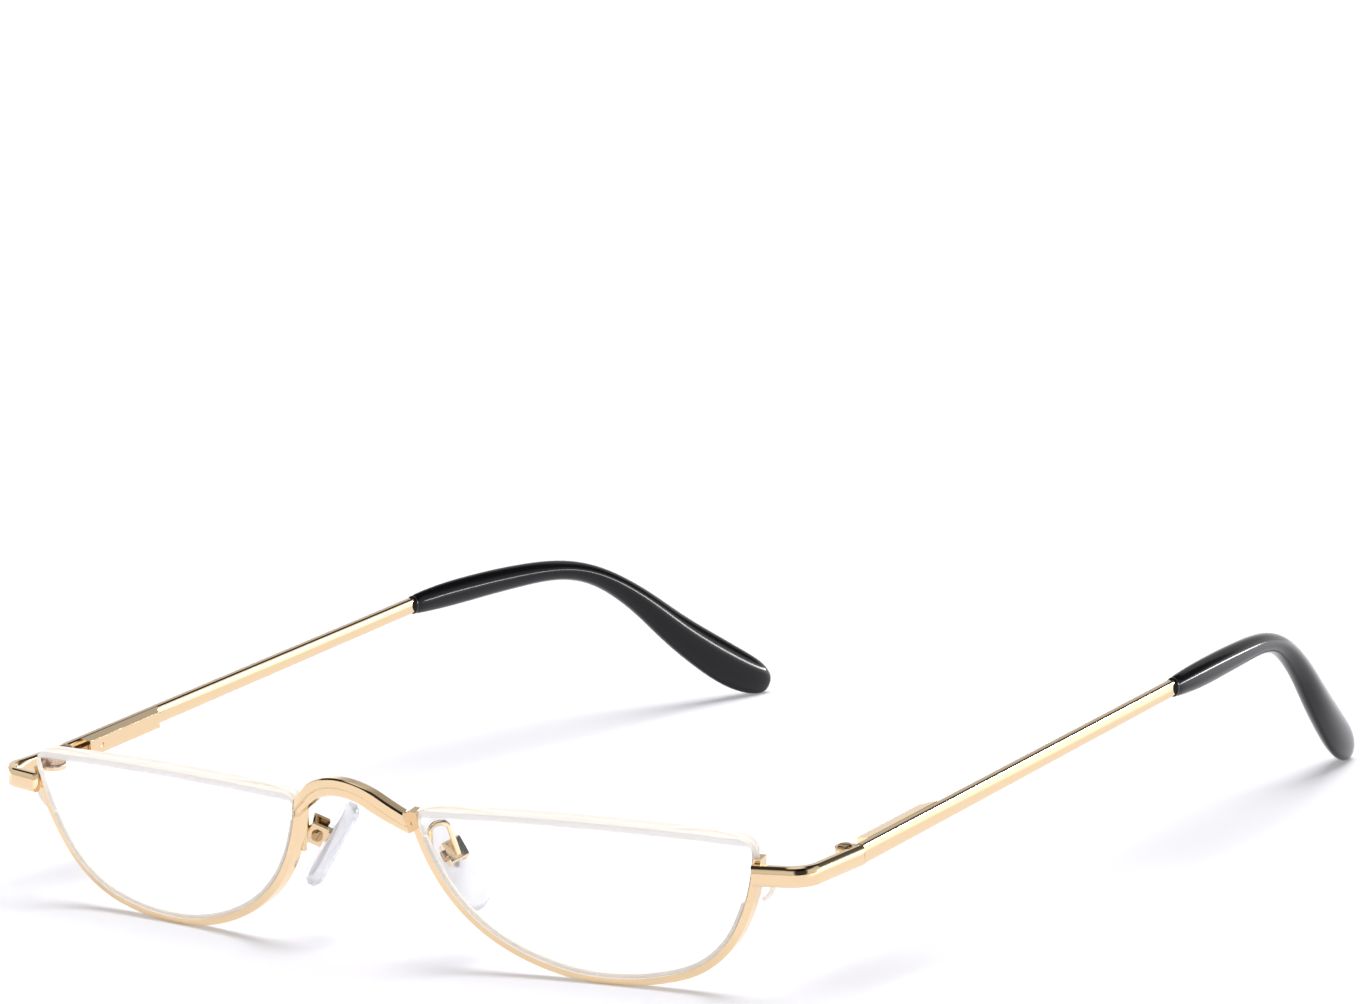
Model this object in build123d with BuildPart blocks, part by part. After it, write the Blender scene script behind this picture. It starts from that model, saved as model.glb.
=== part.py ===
"""Half eye reading glasses with inverted half rims, nylon cords and sprung hinges.

Every length is in millimetres. The glasses stand open on the floor z = 0, on the
lowest points of the two rims and on the ends of the two temple tips. The origin
is on the floor, below the middle of the open glasses. X is the width, with the
nose at x = 0. The front faces -Y and the temples run to +Y. Places along Y are
given from the lowest points of the rims, which stand at front_y.
The right-hand side, at +X, is drawn and the left-hand side is its mirror image.
"""
import os
from math import cos, pi, radians, sin, sqrt, tan

from build123d import *

os.makedirs("parts", exist_ok=True)

# Driving sizes

# Place and attitude of each lens
front_y = -74.9                 # lowest points of the rims, from the middle of the glasses
lens_centre_x = 35.6            # lowest point of a rim from the middle of the nose
wrap_angle = 6.8                # each lens swings back towards the temple
lean_angle = 11.2               # the top of each lens leans forward
bow_radius = 220.0              # spherical bow of the rims
bow_across = -3.0               # middle of the bow, across the lens
bow_up = 11.0                   # middle of the bow, above the lowest point

# U outline of a rim, as tangent arcs from its lowest point
outline_bottom = -1.0           # where the outer and the nasal arcs meet
outer_radii = (38.0, 15.5, 28.0)
outer_turns = (16.0, 43.0, 31.0)
nasal_radii = (32.0, 21.5, 26.0)
nasal_turns = (27.0, 34.0, 29.0)
outline_top = 26.0              # height at which the drawn outline is closed

# Rim wire
rim_face = 0.95                 # width of the wire seen from the front
rim_depth = 1.7                 # depth of the wire
rim_end_outer = 18.3            # height of the wire's end at the temple
rim_end_nasal = 20.9            # height of the wire's end at the nose
overrun = 4.0                   # how far cutting shapes run past what they cut

# Nylon liner in the rim's groove
liner_width = 0.8
liner_in_rim = 0.45
liner_in_lens = 0.5
liner_top_nasal = 18.2
liner_top_outer = 11.8

# Lens
lens_gap = 0.1                  # between the lens edge and the rim wire
lens_edge = 2.4                 # thickness at the middle of the top edge
lens_proud = 0.3                # front of the lens in front of the rim
lens_front_radius = 190.0
lens_back_radius = 250.0
lens_top_side = 20.85           # height of the top edge at its ends
lens_top_middle = 22.15         # height of the top edge at its crown
lens_corner_outer = 2.0
lens_corner_nasal = 1.8

# Nylon cord over the top edge
cord_radius = 0.32
cord_sides = 8                  # facets round the strand
cord_sunk = 0.16                # the cord's centre below the lens edge
cord_loop_reach = 0.85          # how far the little loop stands off the rim
cord_end_nasal = 18.6           # height of the cord's end at the nose
cord_hole_high = 17.2           # height of the hole in the rim's end
cord_hole_low = 12.9            # height of the lower hole
spare_hole_drop = 0.75          # a second small hole below it
spare_hole_back = 0.4
spare_hole_radius = 0.22

# Bridge
bridge_apex_y = -10.0
bridge_apex_z = 24.7
bridge_end_x = 9.3
bridge_end_y = -6.95
bridge_arch_radius = 10.0       # of the upper edge, seen from the front
bridge_arch_half = 37.0         # half the angle of that arc
bridge_leg_past = 1.3           # how far the legs run on over the rims
bridge_depth = 1.8
bridge_upper_height = 1.35
bridge_lower_height = 0.95
bridge_lower_end = 0.4          # height of the lower tier at the rims
bridge_step = 0.4               # how far the lower tier stands back
bridge_corner = 0.22            # bevel of its long edges

# Hinge: place, attitude and pin
hinge_x = 62.4
hinge_y = 12.3
hinge_z = 16.95
toe_angle = 0.7                 # the temples close in slightly towards the back
pitch_angle = 5.2               # the temples rise towards the back
strap_pitch = 2.0               # the end pieces rise less steeply
strap_thickness = 1.0
strap_height = 2.6
strap_outer = 1.8               # outer face from the hinge axis
strap_front_start = -5.4        # where the strap starts on the rim, from the axis
strap_front_back = -13.0        # its front corner, from the axis
strap_sweep = 13.9              # the strap's front runs back by this angle
strap_bend = 3.8                # outer radius of its bend
strap_round = 0.18              # bevel of its long edges
butt_joint = 1.6                # end of the strap behind the hinge axis
butt_gap = 0.05
barrel_radius = 1.25
eye_radius = 1.1
eye_thickness = 1.0
eye_play = 0.05                 # above and below the eye
pin_radius = 0.5
pin_play = 0.04
screw_head_radius = 0.95
screw_head_height = 0.45
screw_slot = 0.28
screw_slot_depth = 0.22
swing_clearance = 0.12

# Spring box and the sprung eye's rod
box_front = 4.2
box_length = 16.3
box_inner = -0.9                # inner face from the hinge axis
box_height = 2.5
box_inner_height = 2.1
box_tail = 1.9                  # length of the sloping rear end
box_bore = 0.6                  # radius
box_bore_end = 17.3
collar_length = 1.2             # front wall that guides the rod
rod_radius = 0.27
rod_play = 0.03
stem_width = 0.96
stem_end_gap = 0.06             # the stem's shoulder from the box front
stop_radius = 0.52
stop_length = 1.1
spring_travel = 1.0
spring_end = 15.7               # front face of the stop
spring_wire = 0.09              # radius
spring_mean = 0.41              # radius
spring_turns = 6
spring_sides = 6                # facets round the wire
spring_seat_gap = 0.02
dimple_radius = 0.3
dimple_depth = 0.12
dimple_behind = 2.4             # from the box front

# Temple bar
bar_length = 77.8               # hinge axis to the mouth of the tip
bar_end_height = 2.1
core_radius = 0.5               # wire inside the tip
core_sides = 6                  # the wire is hexagonal
core_in_tip = 2.0               # how far the flat bar runs into the tip
core_rows = 9                   # rows of the tip's table that the wire follows

# Temple tip: centre line and oval sections, from the mouth to the end.
# Each row has the shares of the tip's length, drop, inward bend, height and width.
tip_length = 67.8
tip_drop = 29.28
tip_inward = 12.4
tip_height = 5.5
tip_width = 3.6
tip_steps = 2                   # sections from one row of the table to the next
tip_shares = (
    (0.000, 0.000, 0.000, 0.46, 0.49),
    (0.035, 0.004, 0.008, 0.56, 0.64),
    (0.130, 0.016, 0.045, 0.66, 0.76),
    (0.290, 0.040, 0.145, 0.62, 0.84),
    (0.440, 0.082, 0.273, 0.52, 0.84),
    (0.550, 0.175, 0.388, 0.53, 0.86),
    (0.655, 0.350, 0.514, 0.68, 0.92),
    (0.765, 0.595, 0.660, 0.94, 1.00),
    (0.880, 0.820, 0.830, 1.12, 0.98),
    (0.957, 0.940, 0.945, 0.94, 0.78),
    (0.990, 0.990, 0.991, 0.50, 0.42),
)

# Nose pads, with their boxes, screws and arms
pad_x = 10.2                    # middle of the pad
pad_y = 2.4
pad_z = 12.74
pad_splay = 35.0                # the pad's foot swings outwards
pad_turn = 37.0                 # its face turns towards the back
pad_length = 13.3
pad_width = 4.5
pad_thickness = 2.0
pad_round = 0.6                 # bevel of its long edges
pad_top_radius = 1.8
pad_box_above = 1.0             # box above the pad's middle
pad_axis_behind = 2.5           # screw axis behind the pad's middle plane
pad_box_width = 2.6
pad_box_height = 2.9
pad_box_wall = 0.5
pad_box_gap = 0.4               # between the pad's back and the box
pad_lug_play = 0.08
pad_lug_radius = 0.7
pad_screw_radius = 0.42
pad_screw_play = 0.04
pad_screw_head = 0.75
pad_screw_head_height = 0.4
arm_radius = 0.38
arm_sides = 8                   # facets round the wire
arm_foot_across = -24.85        # foot of the arm on the back of the rim
arm_foot_height = 12.6
arm_foot_length = 1.8
arm_foot_lean = 0.55            # the foot follows the rim outwards
arm_foot_sunk = 0.12            # how far the foot is brazed into the rim
arm_rise = 4.3                  # top of the loop above the foot
arm_shares = ((0.00, 0.95), (0.62, 1.00))
arm_bend = 1.05                 # radius of its bends

# Planes

lens_out = Vector(1, tan(radians(wrap_angle)), 0).normalized()
lens_forward = Vector(tan(radians(wrap_angle)), -1, -tan(radians(lean_angle))).normalized()
lens_plane = Plane(origin=(lens_centre_x, front_y, 0), x_dir=lens_out, z_dir=lens_forward)

hinge_side = Vector(cos(radians(toe_angle)), sin(radians(toe_angle)), 0)
hinge_along = Vector(
    -sin(radians(toe_angle)), cos(radians(toe_angle)), tan(radians(pitch_angle))
).normalized()
hinge_plane = Plane(
    origin=(hinge_x, front_y + hinge_y, hinge_z),
    x_dir=hinge_side,
    z_dir=hinge_side.cross(hinge_along),
)
hinge_axis = Axis(hinge_plane.origin, hinge_plane.z_dir)
strap_along = Vector(
    -sin(radians(toe_angle)), cos(radians(toe_angle)), tan(radians(strap_pitch))
).normalized()
strap_plane = Plane(origin=hinge_plane.origin, x_dir=hinge_side, z_dir=hinge_side.cross(strap_along))
strap_axis = Axis(strap_plane.origin, strap_plane.z_dir)
bar_plane = Plane(origin=hinge_plane.origin, x_dir=hinge_along, z_dir=hinge_side)
rod_plane = Plane(origin=hinge_plane.origin, x_dir=hinge_side, z_dir=hinge_along)

pad_up = Vector(-sin(radians(pad_splay)), 0, cos(radians(pad_splay)))
pad_face = Vector(
    -cos(radians(pad_splay)) * cos(radians(pad_turn)),
    sin(radians(pad_turn)),
    -sin(radians(pad_splay)) * cos(radians(pad_turn)),
)
pad_across = pad_up.cross(pad_face)
pad_plane = Plane(origin=(pad_x, front_y + pad_y, pad_z), x_dir=pad_across, z_dir=pad_face)


def arcs_end(radii, turns):
    """Reach across and height of a chain of tangent arcs that starts level."""
    across = 0
    up = 0
    angle = 0
    for radius, turn in zip(radii, turns):
        across += radius * (sin(radians(angle + turn)) - sin(radians(angle)))
        up += radius * (cos(radians(angle)) - cos(radians(angle + turn)))
        angle += turn
    return across, up


side_outer = outline_bottom + arcs_end(outer_radii, outer_turns)[0]
side_nasal = outline_bottom - arcs_end(nasal_radii, nasal_turns)[0]
side_middle = (side_outer + side_nasal) / 2
side_half = (side_outer - side_nasal) / 2


def bow_height(across, up, radius):
    """Height of a bowed surface above the lens plane, nought at the lowest point."""
    level = sqrt(radius**2 - bow_up**2)
    return sqrt(radius**2 - (across - bow_across) ** 2 - (up - bow_up) ** 2) - level


def bow_centre(radius, lift):
    """Centre of a bowed surface's sphere, in the lens plane's own frame."""
    return (bow_across, bow_up, lift - sqrt(radius**2 - bow_up**2))


def on_bow(across, up, below):
    """Point that lies below the rim's bowed front, in the world."""
    return lens_plane.from_local_coords(
        (across, up, bow_height(across, up, bow_radius) - below)
    )


def outline():
    """Draws the closed U outline of the outer edge of one rim."""
    start = (outline_bottom, 0)
    outer_low = JernArc(start=start, tangent=(1, 0), radius=outer_radii[0], arc_size=outer_turns[0])
    outer_mid = JernArc(
        start=outer_low @ 1, tangent=outer_low % 1, radius=outer_radii[1], arc_size=outer_turns[1]
    )
    outer_high = JernArc(
        start=outer_mid @ 1, tangent=outer_mid % 1, radius=outer_radii[2], arc_size=outer_turns[2]
    )
    nasal_low = JernArc(
        start=start, tangent=(-1, 0), radius=nasal_radii[0], arc_size=-nasal_turns[0]
    )
    nasal_mid = JernArc(
        start=nasal_low @ 1, tangent=nasal_low % 1, radius=nasal_radii[1], arc_size=-nasal_turns[1]
    )
    nasal_high = JernArc(
        start=nasal_mid @ 1, tangent=nasal_mid % 1, radius=nasal_radii[2], arc_size=-nasal_turns[2]
    )
    outer_side = Line(outer_high @ 1, ((outer_high @ 1).X, outline_top))
    nasal_side = Line(nasal_high @ 1, ((nasal_high @ 1).X, outline_top))
    Line(outer_side @ 1, nasal_side @ 1)


def shell(front_radius, back_radius, front_lift, back_lift):
    """Keeps what lies between two bowed surfaces of the open BuildPart."""
    with Locations(lens_plane * Pos(*bow_centre(front_radius, front_lift))):
        Sphere(front_radius, rotation=(90, 0, 0), mode=Mode.INTERSECT)
    with Locations(lens_plane * Pos(*bow_centre(back_radius, back_lift))):
        Sphere(back_radius, rotation=(90, 0, 0), mode=Mode.SUBTRACT)


def lens_top(across):
    """Height of the lens's arched top edge."""
    side_share = ((across - side_middle) / side_half) ** 2
    return lens_top_middle - (lens_top_middle - lens_top_side) * side_share


def ring(outer_inset, inner_inset):
    """Adds the U-shaped ring between two insets of the outline to the open BuildPart."""
    with BuildSketch(lens_plane) as band:
        with BuildLine():
            outline()
        make_face()
        if outer_inset:
            offset(amount=-outer_inset, mode=Mode.REPLACE)
        with BuildSketch(mode=Mode.SUBTRACT):
            with BuildLine():
                outline()
            make_face()
            offset(amount=-inner_inset, mode=Mode.REPLACE)
    extrude(band.sketch, amount=overrun, both=True)


def cut_above(nasal_height, outer_height):
    """Cuts the open BuildPart off above a line from the nose to the temple."""
    left = side_nasal - overrun
    right = side_outer + overrun
    top = outline_top + overrun
    with BuildSketch(lens_plane) as above:
        with BuildLine():
            Polyline((left, nasal_height), (right, outer_height), (right, top), (left, top), close=True)
        make_face()
    extrude(above.sketch, amount=2 * overrun, both=True, mode=Mode.SUBTRACT)


# Nylon liner and cord

groove_depth = (rim_depth - liner_width) / 2
liner_outer_inset = rim_face - liner_in_rim
liner_inner_inset = rim_face + lens_gap + liner_in_lens

with BuildPart() as rim_liner_right:
    ring(liner_outer_inset, liner_inner_inset)
    shell(
        bow_radius - groove_depth,
        bow_radius - groove_depth - liner_width,
        -groove_depth,
        -groove_depth - liner_width,
    )
    cut_above(liner_top_nasal, liner_top_outer)

cord_inset = rim_face + lens_gap + cord_sunk
cord_below = rim_depth / 2
cord_out = side_outer - cord_inset
cord_nose = side_nasal + cord_inset
corner_out = lens_corner_outer - cord_sunk
corner_nose = lens_corner_nasal - cord_sunk
diagonal_share = 1 - sqrt(0.5)
cord_route = [
    (cord_nose, cord_end_nasal),
    (cord_nose, lens_top(cord_nose) - cord_sunk - corner_nose),
    (
        cord_nose + corner_nose * diagonal_share,
        lens_top(cord_nose) - cord_sunk - corner_nose * diagonal_share,
    ),
    (cord_nose + corner_nose, lens_top(cord_nose + corner_nose) - cord_sunk),
    (side_middle - side_half / 2, lens_top(side_middle - side_half / 2) - cord_sunk),
    (side_middle, lens_top(side_middle) - cord_sunk),
    (side_middle + side_half / 2, lens_top(side_middle + side_half / 2) - cord_sunk),
    (cord_out - corner_out, lens_top(cord_out - corner_out) - cord_sunk),
    (
        cord_out - corner_out * diagonal_share,
        lens_top(cord_out) - cord_sunk - corner_out * diagonal_share,
    ),
    (cord_out, lens_top(cord_out) - cord_sunk - corner_out),
]
loop_start = (side_outer - rim_face, cord_hole_high)
loop_end = (side_outer - rim_face, cord_hole_low)
loop_middle = (side_outer + cord_loop_reach - cord_radius, (cord_hole_high + cord_hole_low) / 2)

with BuildPart() as lens_cord_right:
    with BuildLine():
        cord_path = Spline([on_bow(across, up, cord_below) for across, up in cord_route])
    with BuildSketch(Plane(origin=cord_path @ 0, z_dir=cord_path % 0)):
        RegularPolygon(cord_radius, cord_sides)
    sweep(path=cord_path)
    with BuildLine():
        tail_path = Line(cord_path @ 1, on_bow(*loop_start, cord_below))
    with BuildSketch(Plane(origin=tail_path @ 0, z_dir=tail_path % 0)):
        RegularPolygon(cord_radius, cord_sides)
    sweep(path=tail_path)
    with BuildLine():
        loop_path = ThreePointArc(
            on_bow(*loop_start, cord_below), on_bow(*loop_middle, cord_below), on_bow(*loop_end, cord_below)
        )
    with BuildSketch(Plane(origin=loop_path @ 0, z_dir=loop_path % 0)):
        RegularPolygon(cord_radius, cord_sides)
    sweep(path=loop_path)

# Rim and lens

with BuildPart() as rim_right:
    ring(0, rim_face)
    shell(bow_radius, bow_radius - rim_depth, 0, -rim_depth)
    cut_above(rim_end_nasal, rim_end_outer)
    add(rim_liner_right.part, mode=Mode.SUBTRACT)
    add(lens_cord_right.part, mode=Mode.SUBTRACT)
    spare_hole = Pos(side_outer, cord_hole_low - spare_hole_drop, -rim_depth - spare_hole_back)
    with Locations(lens_plane * spare_hole):
        Cylinder(spare_hole_radius, 2 * rim_depth, rotation=(0, 90, 0), mode=Mode.SUBTRACT)

lens_front_lift = lens_proud
lens_back_lift = lens_proud - lens_edge

with BuildPart() as lens_right:
    with BuildSketch(lens_plane) as lens_sketch:
        with BuildLine():
            outline()
        make_face()
        offset(amount=-(rim_face + lens_gap), mode=Mode.REPLACE)
        with BuildLine():
            crown = ThreePointArc(
                (side_nasal, lens_top_side), (side_middle, lens_top_middle), (side_outer, lens_top_side)
            )
            Polyline(crown @ 1, (side_outer, -overrun), (side_nasal, -overrun), crown @ 0)
        make_face(mode=Mode.INTERSECT)
        top_corners = lens_sketch.vertices().group_by(Axis.Y)[-1].sort_by(Axis.X)
        fillet(top_corners[0], radius=lens_corner_nasal)
        top_corners = lens_sketch.vertices().filter_by(lambda v: v.X > side_middle).sort_by(Axis.Y)
        fillet(top_corners[-1], radius=lens_corner_outer)
    extrude(amount=overrun, both=True)
    shell(lens_front_radius, lens_back_radius, lens_front_lift, lens_back_lift)
    add(rim_liner_right.part, mode=Mode.SUBTRACT)
    add(lens_cord_right.part, mode=Mode.SUBTRACT)

# Bridge

arch_sin = sin(radians(bridge_arch_half))
arch_cos = cos(radians(bridge_arch_half))
bridge_half = bridge_end_x + bridge_leg_past
plan_rise = bridge_end_y - bridge_apex_y
plan_slope = plan_rise / bridge_end_x**2


def bridge_plan_y(across):
    """Front face of the bridge, seen from above."""
    return front_y + bridge_apex_y + plan_slope * across**2


def bridge_tier(top_drop, height, end_height, set_back):
    """Adds one tier of the arched bridge to the open BuildPart."""
    outer = bridge_arch_radius - top_drop
    inner = outer - height
    centre = bridge_apex_z - bridge_arch_radius
    leg_length = (bridge_half - outer * arch_sin) / arch_cos
    leg_end = Vector(outer * arch_sin, centre + outer * arch_cos)
    leg_end += Vector(arch_cos, -arch_sin) * leg_length
    under_end = leg_end - Vector(arch_sin, arch_cos) * end_height
    with BuildSketch(Plane.XZ.offset(-front_y)) as face:
        with BuildLine():
            arch = ThreePointArc(
                (-outer * arch_sin, centre + outer * arch_cos),
                (0, centre + outer),
                (outer * arch_sin, centre + outer * arch_cos),
            )
            under = ThreePointArc(
                (-inner * arch_sin, centre + inner * arch_cos),
                (0, centre + inner),
                (inner * arch_sin, centre + inner * arch_cos),
            )
            Polyline(arch @ 1, leg_end, under_end, under @ 1)
            Polyline(arch @ 0, (-leg_end.X, leg_end.Y), (-under_end.X, under_end.Y), under @ 0)
        make_face()
    band = extrude(face.sketch, amount=overrun - bridge_apex_y, both=True, mode=Mode.PRIVATE)
    with BuildSketch(Plane.XY) as plan:
        with BuildLine():
            front_line = ThreePointArc(
                (-bridge_half, bridge_plan_y(bridge_half) + set_back),
                (0, bridge_plan_y(0) + set_back),
                (bridge_half, bridge_plan_y(bridge_half) + set_back),
            )
            back_line = ThreePointArc(
                (-bridge_half, bridge_plan_y(bridge_half) + bridge_depth),
                (0, bridge_plan_y(0) + bridge_depth),
                (bridge_half, bridge_plan_y(bridge_half) + bridge_depth),
            )
            Line(front_line @ 0, back_line @ 0)
            Line(front_line @ 1, back_line @ 1)
        make_face()
    column = extrude(plan.sketch, amount=bridge_apex_z + overrun, mode=Mode.PRIVATE)
    add(band & column)


with BuildPart() as rim_seat:
    with BuildSketch(lens_plane):
        with BuildLine():
            outline()
        make_face()
    extrude(amount=overrun, both=True)

with BuildPart() as bridge:
    bridge_tier(0, bridge_upper_height, bridge_upper_height, 0)
    long_edges = bridge.edges().filter_by(lambda edge: abs(edge.center().X) < bridge_half - bridge_corner)
    chamfer(long_edges, length=bridge_corner)
    bridge_tier(bridge_upper_height, bridge_lower_height, bridge_lower_end, bridge_step)
    add(rim_seat.part, mode=Mode.SUBTRACT)
    mirror(rim_seat.part, about=Plane.YZ, mode=Mode.SUBTRACT)

# End piece and hinge screw

strap_inner = strap_outer - strap_thickness
strap_corner = strap_front_back + (strap_outer - strap_front_start) * tan(radians(strap_sweep))

with BuildPart() as hinge_screw_right:
    with BuildSketch(hinge_plane.offset(-strap_height / 2)):
        Circle(pin_radius)
    extrude(amount=strap_height)
    with BuildSketch(hinge_plane.offset(strap_height / 2 - screw_head_height / 2)):
        Circle(screw_head_radius)
    extrude(amount=screw_head_height)
    chamfer(hinge_screw_right.edges().group_by(hinge_axis)[-1], length=screw_head_height / 4)
    with BuildSketch(hinge_plane.offset(strap_height / 2 + screw_head_height / 2)):
        Rectangle(2 * screw_head_radius, screw_slot)
    extrude(amount=-screw_slot_depth, mode=Mode.SUBTRACT)

with BuildPart() as end_piece_right:
    with BuildSketch(strap_plane):
        with BuildLine():
            FilletPolyline(
                (strap_front_start, strap_front_back),
                (strap_outer, strap_corner),
                (strap_outer, butt_joint + strap_round),
                radius=strap_bend,
            )
            offset(amount=strap_thickness, side=Side.LEFT)
        make_face()
    extrude(amount=strap_height / 2, both=True)
    strap_edges = end_piece_right.faces().filter_by(strap_axis).edges()
    chamfer(strap_edges.filter_by(lambda edge: edge.length > 2 * strap_thickness), length=strap_round)
    with BuildSketch(hinge_plane):
        with Locations((strap_outer, butt_joint + overrun / 2)):
            Rectangle(overrun, overrun)
    extrude(amount=strap_height, both=True, mode=Mode.SUBTRACT)
    with BuildSketch(hinge_plane):
        Circle(barrel_radius)
        with Locations((strap_inner / 2 + strap_round, 0)):
            Rectangle(strap_inner + 2 * strap_round, 2 * barrel_radius)
    extrude(amount=strap_height / 2, both=True)
    with BuildSketch(hinge_plane):
        Circle(eye_radius + swing_clearance)
        with Locations((strap_inner - overrun / 2, 0)):
            Rectangle(overrun, 2 * barrel_radius + overrun)
    extrude(amount=eye_thickness / 2 + eye_play, both=True, mode=Mode.SUBTRACT)
    add(hinge_screw_right.part, mode=Mode.SUBTRACT)
    add(rim_right.part, mode=Mode.SUBTRACT)
    add(lens_right.part, mode=Mode.SUBTRACT)

# Sprung eye, its stop and its spring

stem_end = box_front - stem_end_gap
stop_front = spring_end
rod_end = stop_front + stop_length
collar_back = box_front + collar_length

with BuildPart() as hinge_eye_right:
    with BuildSketch(hinge_plane):
        Circle(eye_radius)
        with Locations((0, stem_end / 2)):
            Rectangle(stem_width, stem_end)
        Circle(pin_radius + pin_play, mode=Mode.SUBTRACT)
    extrude(amount=eye_thickness / 2, both=True)
    with BuildSketch(rod_plane.offset(stem_end)):
        Circle(rod_radius)
    extrude(amount=rod_end - stem_end)

with BuildPart() as spring_stop_right:
    with BuildSketch(rod_plane.offset(stop_front)):
        Circle(stop_radius)
        Circle(rod_radius, mode=Mode.SUBTRACT)
    extrude(amount=stop_length)

coil_start = collar_back + spring_wire + spring_seat_gap
coil_length = stop_front - spring_wire - spring_seat_gap - coil_start
coil_pitch = coil_length / spring_turns


def coil_point(plane, turn):
    """Point on the centre line of the spring after so many turns."""
    angle = 2 * pi * turn
    across = spring_mean * cos(angle)
    up = spring_mean * sin(angle)
    return plane.from_local_coords((across, up, coil_start + coil_pitch * turn))


def coil(plane):
    """Sweeps one spring in the open BuildPart, with its turns from the formula above."""
    with BuildLine() as path:
        for quarter in range(4 * spring_turns):
            ThreePointArc(
                coil_point(plane, quarter / 4),
                coil_point(plane, quarter / 4 + 1 / 8),
                coil_point(plane, quarter / 4 + 1 / 4),
            )
    whole = path.wires()[0]
    with BuildSketch(Plane(origin=whole @ 0, z_dir=whole % 0)) as section:
        RegularPolygon(spring_wire, spring_sides)
    sweep(section.sketch, path=whole)


with BuildPart() as hinge_spring_right:
    coil(rod_plane)

# Spring box

box_end = box_front + box_length

with BuildPart() as spring_housing_right:
    with BuildSketch(rod_plane.offset(box_front)):
        with BuildLine():
            Polyline(
                (strap_inner, -box_height / 2),
                (strap_inner, box_height / 2),
                (box_inner, box_inner_height / 2),
                (box_inner, -box_inner_height / 2),
                close=True,
            )
        make_face()
    extrude(amount=box_length)
    with BuildSketch(hinge_plane):
        with BuildLine():
            Polyline(
                (strap_inner, box_front),
                (box_inner, box_front),
                (box_inner, box_end - box_tail),
                (strap_inner, box_end),
                close=True,
            )
        make_face()
    extrude(amount=box_height, both=True, mode=Mode.INTERSECT)
    with BuildSketch(rod_plane.offset(collar_back)):
        Circle(box_bore)
    extrude(amount=box_bore_end - collar_back, mode=Mode.SUBTRACT)
    with BuildSketch(rod_plane.offset(box_front)):
        Circle(rod_radius + rod_play)
    extrude(amount=collar_length, mode=Mode.SUBTRACT)
    with BuildSketch(bar_plane.offset(box_inner)):
        with Locations((box_front + dimple_behind, 0)):
            Circle(dimple_radius)
    extrude(amount=dimple_depth, mode=Mode.SUBTRACT)

# Temple bar, with the wire inside the tip

bar_middle = (strap_inner + strap_outer) / 2
bar_start = butt_joint + butt_gap
bar_end = bar_length + core_in_tip


def tip_centre(row):
    """Point on the tip's centre line at one row of its table."""
    along_share, drop_share, inward_share = tip_shares[row][:3]
    return hinge_plane.from_local_coords(
        (
            bar_middle - inward_share * tip_inward,
            bar_length + along_share * tip_length,
            -drop_share * tip_drop,
        )
    )


with BuildPart() as temple_right:
    with BuildSketch(bar_plane.offset(strap_inner)):
        with BuildLine():
            Polyline(
                (bar_start, -strap_height / 2),
                (bar_end, -bar_end_height / 2),
                (bar_end, bar_end_height / 2),
                (bar_start, strap_height / 2),
                close=True,
            )
        make_face()
    extrude(amount=strap_thickness)
    chamfer(temple_right.edges().filter_by(lambda edge: edge.length > bar_length / 2), length=strap_round)
    with BuildLine():
        core_path = Spline([tip_centre(row) for row in range(core_rows)])
    with BuildSketch(Plane(origin=core_path @ 0, z_dir=core_path % 0)):
        RegularPolygon(core_radius, core_sides)
    sweep(path=core_path)

tip_line = Spline([tip_centre(row) for row in range(len(tip_shares))])
row_places = [tip_line.param_at_point(tip_centre(row)) for row in range(len(tip_shares))]


def between_rows(step, values):
    """Value at one section of the tip, between those of the table's rows before and after it."""
    row, steps_past = divmod(step, tip_steps)
    following = min(row + 1, len(values) - 1)
    return values[row] + (values[following] - values[row]) * steps_past / tip_steps


with BuildPart() as temple_tip_right:
    for step in range(tip_steps * (len(tip_shares) - 1) + 1):
        place = between_rows(step, row_places)
        height = between_rows(step, [shares[3] for shares in tip_shares]) * tip_height
        width = between_rows(step, [shares[4] for shares in tip_shares]) * tip_width
        heading = hinge_along if step == 0 else tip_line % place
        sideways = heading.cross(hinge_plane.z_dir)
        with BuildSketch(Plane(origin=tip_line @ place, x_dir=sideways, z_dir=heading)):
            Ellipse(width / 2, height / 2)
    loft(ruled=True)
    add(temple_right.part, mode=Mode.SUBTRACT)

# Nose pad, box, screw and arm

pad_axis = pad_plane.from_local_coords((0, pad_box_above, -pad_axis_behind))
lug_plane = Plane(origin=pad_axis, x_dir=pad_face, z_dir=pad_across)
pad_screw_axis = Axis(pad_axis, pad_across)
pad_back = pad_thickness / 2
box_open = pad_axis_behind - pad_back - pad_box_gap
box_floor = pad_lug_radius + pad_lug_play
box_back = box_floor + pad_box_wall
lug_width = pad_box_width - 2 * pad_box_wall - 2 * pad_lug_play

with BuildPart() as nose_pad_right:
    with BuildSketch(pad_plane):
        with Locations((0, pad_length / 2 - pad_top_radius)):
            Circle(pad_top_radius)
        with Locations((0, pad_width / 2 - pad_length / 2)):
            Circle(pad_width / 2)
        make_hull()
    extrude(amount=pad_back, both=True)
    outer_edges = nose_pad_right.edges().filter_by(lambda edge: edge.length > pad_thickness * 1.1)
    chamfer(outer_edges, length=pad_round)
    with BuildSketch(lug_plane):
        Circle(pad_lug_radius)
        with Locations(((pad_axis_behind - pad_back + pad_round / 2) / 2, 0)):
            Rectangle(pad_axis_behind - pad_back + pad_round / 2, 2 * pad_lug_radius)
    extrude(amount=lug_width / 2, both=True)
    with BuildSketch(lug_plane):
        Circle(pad_screw_radius + pad_screw_play)
    extrude(amount=lug_width, both=True, mode=Mode.SUBTRACT)

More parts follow.
